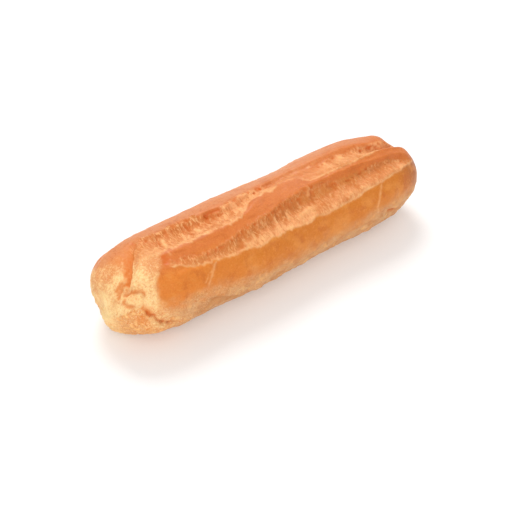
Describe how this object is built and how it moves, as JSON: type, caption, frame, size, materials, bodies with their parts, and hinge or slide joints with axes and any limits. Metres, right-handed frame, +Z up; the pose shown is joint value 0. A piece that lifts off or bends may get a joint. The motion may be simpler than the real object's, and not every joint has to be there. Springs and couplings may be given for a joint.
{
  "type": "eclair",
  "caption": "Plain baked choux pastry baton, with ridges and torn furrows along its top, a folded near end and a flat base.",
  "frame": {"origin": "on the tray side, under the middle of the baton's box", "axes": "+X along the baton from its folded near end to its far end, +Y to its back, +Z up"},
  "size_m": [0.1398, 0.039, 0.0337],
  "materials": {
    "baked_crust": "baked golden brown, satin on the ridges and matt in the furrows"
  },
  "bodies": {
    "root": {"eclair": "baked_crust"}
  },
  "joints": []
}
